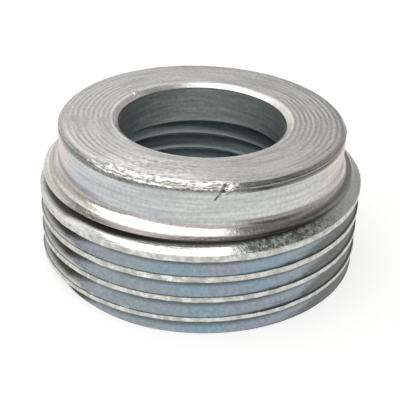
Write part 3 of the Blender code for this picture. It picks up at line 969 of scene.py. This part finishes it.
# %% [markdown]
# Three bumps are chained, each bending the normal of the one before: the tool marks, a hundredth of a
# millimetre high on the collar and more on the face, then the grain, which is deep on the torn flank, and last
# the nick and the spot. Real heights keep the relief right from any distance.

# %% Relief
mark_height = add_node(plate, MIX, {"Factor": zones["on_face"], "A": 0.012 * MM, "B": 0.04 * MM})
grain_height = add_node(plate, MIX, {"Factor": zones["on_thread"], "A": 0.014 * MM, "B": 0.006 * MM})
grain_height = add_node(plate, MIX, {"Factor": zones["torn"], "A": grain_height, "B": 0.12 * MM})
knocks = add_node(plate, MATH, {0: zones["spot"], 1: zones["in_nick"]}, operation="SUBTRACT")
relief = None
for heights, distance in ((marks, mark_height), (noises["grain"], grain_height), (knocks, 0.1 * MM)):
    inputs = {"Height": heights, "Distance": distance, "Strength": 1.0}
    if relief:
        inputs["Normal"] = relief
    relief = add_node(plate, "ShaderNodeBump", inputs)

# %% Fill in the shader
shader = plate.nodes["Principled BSDF"]
shader.inputs["Metallic"].default_value = 1.0
plate.links.new(shaded.outputs["Vector"], shader.inputs["Base Color"])
plate.links.new(rough.outputs["Value"], shader.inputs["Roughness"])
plate.links.new(relief.outputs["Normal"], shader.inputs["Normal"])
if not bushing.data.materials:
    bushing.data.materials.append(steel)
print("Nodes in the plate:", len(plate.nodes))

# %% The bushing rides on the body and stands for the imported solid
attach(bushing, "root")
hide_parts("reducing_bushing")

# %% [markdown]
# ## The studio
# Polished metal shows its surroundings more than its own colour, so the studio is part of the material. There
# is one large softbox over the left of the table. The floor is white paper, a little grey to the lamp, so that
# it keeps the shadow. Its glow is for the camera and for reflections only, so it lights nothing.

# %% Floor
FLOOR_GLOW = 0.74
WHITE = (1.0, 1.0, 1.0, 1.0)

bpy.ops.mesh.primitive_plane_add(size=4.0)
floor = bpy.context.object
floor.name = "floor"
paper = bpy.data.materials.new("white_paper_sweep")
paper.use_nodes = True
sheet = paper.node_tree
sheet.nodes.clear()
path = add_node(sheet, "ShaderNodeLightPath").outputs
seen = add_node(sheet, MATH, {0: path["Is Camera Ray"], 1: path["Is Glossy Ray"]}, operation="MAXIMUM")
seen = add_node(sheet, MATH, {0: seen, 1: path["Is Transmission Ray"]}, operation="MAXIMUM")
glow_strength = add_node(sheet, MATH, {0: seen, 1: FLOOR_GLOW}, operation="MULTIPLY")
glow = add_node(sheet, "ShaderNodeEmission", {"Color": WHITE, "Strength": glow_strength})
matte = add_node(sheet, "ShaderNodeBsdfDiffuse", {"Color": colour("#9C9C9A")})
lit_paper = add_node(sheet, "ShaderNodeAddShader", {0: matte, 1: glow})
add_node(sheet, "ShaderNodeOutputMaterial", {"Surface": lit_paper})
floor.data.materials.append(paper)

# %% [markdown]
# The walls are the world's background, so they need no mesh. The front wall is pale. The back wall is warm white
# on the left and grey on the right, and lighter higher up, where the end face mirrors it. The left wall darkens
# upwards, the right wall is dark above, most of all in front, and the ceiling is grey. Each wall fades into the
# next, because a soft metal reflection shows no edges. The camera itself sees plain white.

# %% Walls of the studio
world = bpy.data.worlds.new("studio")
bpy.context.scene.world = world
world.use_nodes = True
walls = world.node_tree
walls.nodes.clear()
direction = add_node(walls, "ShaderNodeTexCoord").outputs["Generated"]
toward = add_node(walls, "ShaderNodeSeparateXYZ", {0: direction}).outputs

mixed = {}
for name, way, start, end, first, second in (
    ("back", "X", -0.3, 0.25, "#FBF8F4", "#B6B3B1"),
    ("left", "Z", 0.28, 0.45, "#E6E0DC", "#A9A19D"),
    ("right above", "Y", -0.25, 0.15, "#4C4A4C", "#969394"),
    ("right", "Z", 0.38, 0.6, "#B5B2B2", "right above"),
):
    share = add_node(walls, RANGE, {"Value": toward[way], "From Min": start, "From Max": end})
    mixed[name] = add_node(walls, MIX, {
        "Factor": share, "A": colour(first), "B": mixed[second] if second in mixed else colour(second),
    }, data_type="RGBA")
back_lift = add_node(walls, RANGE, {
    "Value": toward["Z"], "From Min": 0.36, "From Max": 0.48, "To Min": 0.74, "To Max": 1.28,
})
mixed["back"] = add_node(walls, VECTOR, {0: mixed["back"], "Scale": back_lift}, operation="SCALE")

wall = colour("#F2F2F2")
for way, start, end, tone in (
    ("Y", -0.1, 0.45, mixed["back"]),
    ("X", -0.55, -0.8, mixed["left"]),
    ("X", 0.35, 0.6, mixed["right"]),
    ("Z", 0.72, 0.88, colour("#7C7A7A")),
):
    share = add_node(walls, RANGE, {"Value": toward[way], "From Min": start, "From Max": end})
    wall = add_node(walls, MIX, {"Factor": share, "A": wall, "B": tone}, data_type="RGBA")

path = add_node(walls, "ShaderNodeLightPath").outputs
room = add_node(walls, "ShaderNodeBackground", {"Color": wall, "Strength": 1.0})
white = add_node(walls, "ShaderNodeBackground", {"Color": WHITE, "Strength": 1.0})
either = add_node(walls, "ShaderNodeMixShader", {0: path["Is Camera Ray"], 1: room, 2: white})
add_node(walls, "ShaderNodeOutputWorld", {"Surface": either})
print("Nodes in the walls:", len(walls.nodes))

# %% [markdown]
# The softbox is an area lamp half a metre above the part. Its power is worked out from its area and the
# brightness that its face should have, so its size can change and the part stays as bright in its reflection.

# %% The softbox
SOFTBOX_HEIGHT = 0.5
SOFTBOX_WIDTH = 0.775
SOFTBOX_LENGTH = 0.53
SOFTBOX_CENTRE = (-0.27, -0.09)
SOFTBOX_TURN = math.radians(11.0)
SOFTBOX_RADIANCE = 1.7

lamp_data = bpy.data.lights.new("overhead_softbox", "AREA")
lamp_data.shape = "RECTANGLE"
lamp_data.size = SOFTBOX_WIDTH
lamp_data.size_y = SOFTBOX_LENGTH
lamp_data.energy = SOFTBOX_RADIANCE * math.pi * SOFTBOX_WIDTH * SOFTBOX_LENGTH
lamp = bpy.data.objects.new("overhead_softbox", lamp_data)
bpy.context.scene.collection.objects.link(lamp)
lamp.location = (*SOFTBOX_CENTRE, TOP + SOFTBOX_HEIGHT)
lamp.rotation_euler = (0.0, 0.0, SOFTBOX_TURN)
print("Softbox power in watts:", round(lamp_data.energy, 2))

# %% [markdown]
# ## The camera
# The place and the angles come from a fit of the rim, the crests and the outline to the photograph.

# %% Camera
CAMERA_PLACE = Vector((0.0, -0.08806, 0.05504))
CAMERA_YAW = 0.0006
CAMERA_PITCH = math.radians(29.409)
CAMERA_ROLL = math.radians(2.174)
FOCAL_LENGTH = 86.47
SENSOR_WIDTH = 36.0

camera_data = bpy.data.cameras.new("camera")
camera_data.lens = FOCAL_LENGTH
camera_data.sensor_width = SENSOR_WIDTH
camera_data.clip_start = 5.0 * MM
camera = bpy.data.objects.new("camera", camera_data)
bpy.context.scene.collection.objects.link(camera)
turn_level = Matrix.Rotation(-CAMERA_YAW, 4, "Z")
turn_down = Matrix.Rotation(math.pi / 2.0 - CAMERA_PITCH, 4, "X")
turn_roll = Matrix.Rotation(CAMERA_ROLL, 4, "Z")
camera.matrix_world = Matrix.Translation(CAMERA_PLACE) @ turn_level @ turn_down @ turn_roll
bpy.context.scene.camera = camera
bpy.context.scene.view_settings.view_transform = "Standard"
print("Camera stands", round(CAMERA_PLACE.length / MM), "mm from the part's foot.")
